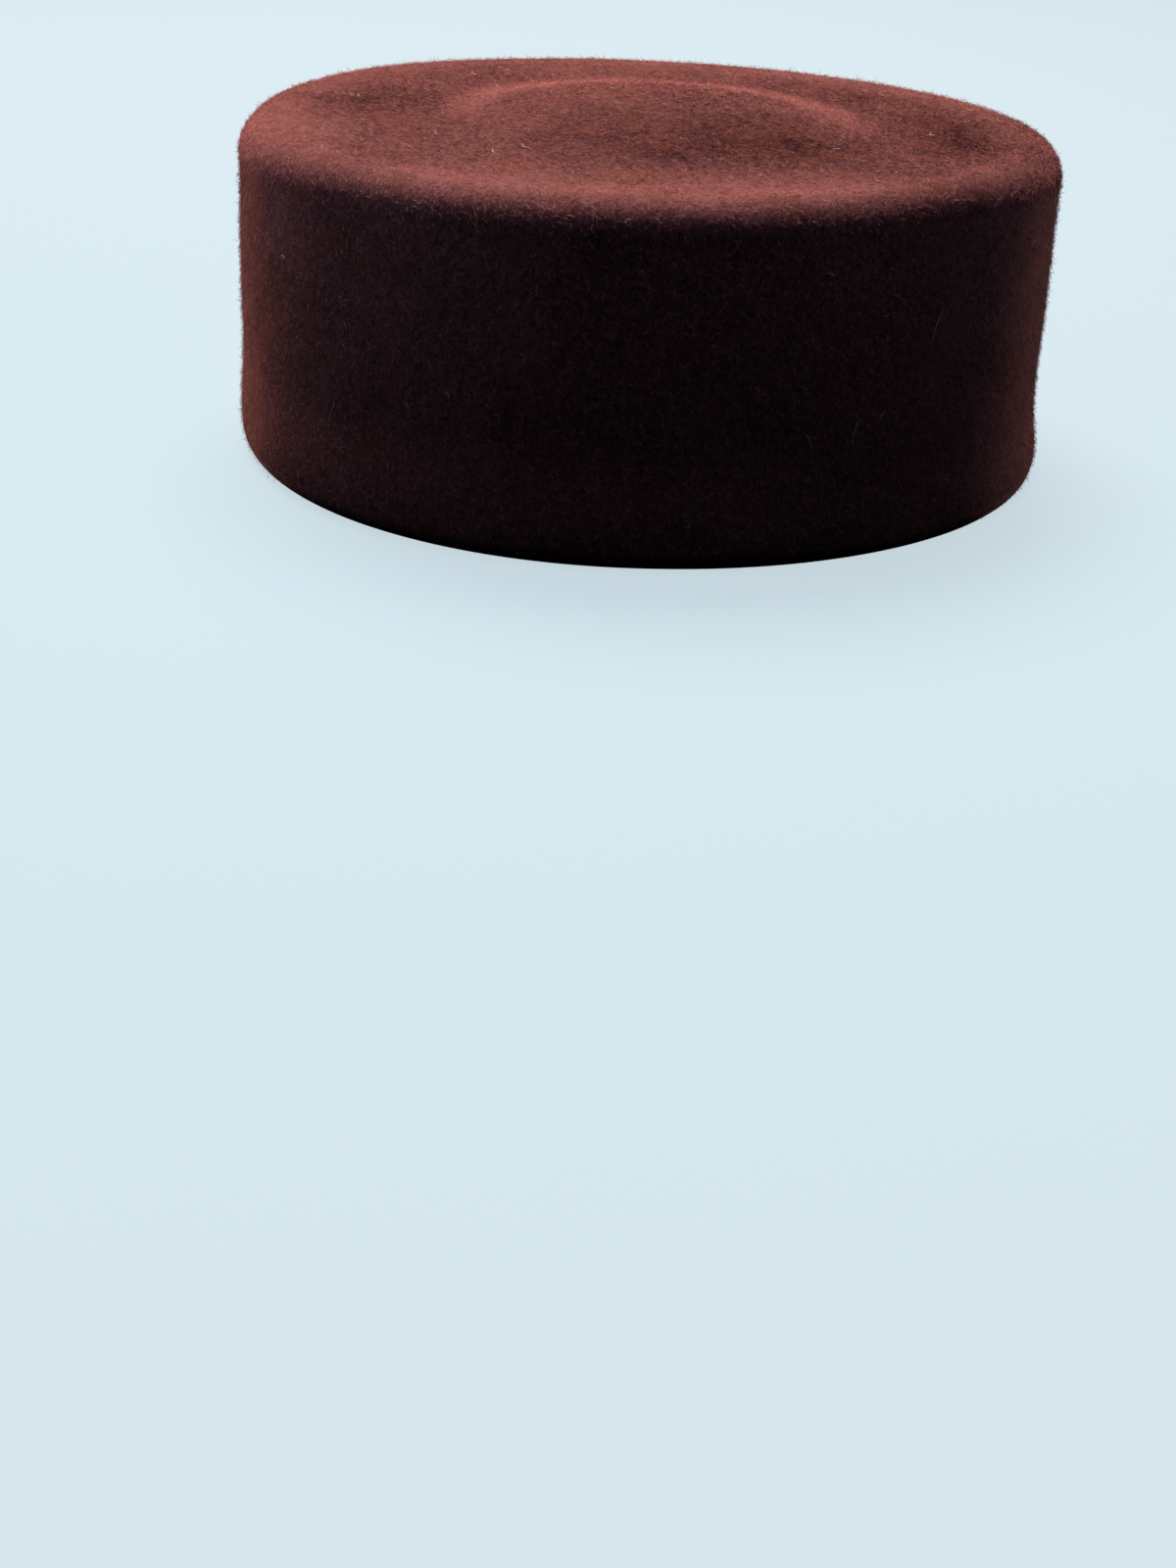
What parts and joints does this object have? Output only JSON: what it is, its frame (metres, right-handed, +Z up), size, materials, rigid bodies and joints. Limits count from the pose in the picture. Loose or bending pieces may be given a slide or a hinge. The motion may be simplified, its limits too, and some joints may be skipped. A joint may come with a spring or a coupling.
{
  "type": "pillbox hat",
  "caption": "Oval brown felt pillbox hat with upright sides, a rolled top edge and a low domed tip, open below for the head.",
  "frame": {"origin": "middle of the hat's outline, on the surface that the rim rests on", "axes": "+Z up through the crown, -Y towards the wearer's front, X across the head"},
  "size_m": [0.174, 0.2032, 0.0831],
  "materials": {
    "felt": "matte brushed wool felt, chocolate brown"
  },
  "bodies": {
    "root": {"felt_crown": "felt"}
  },
  "joints": []
}
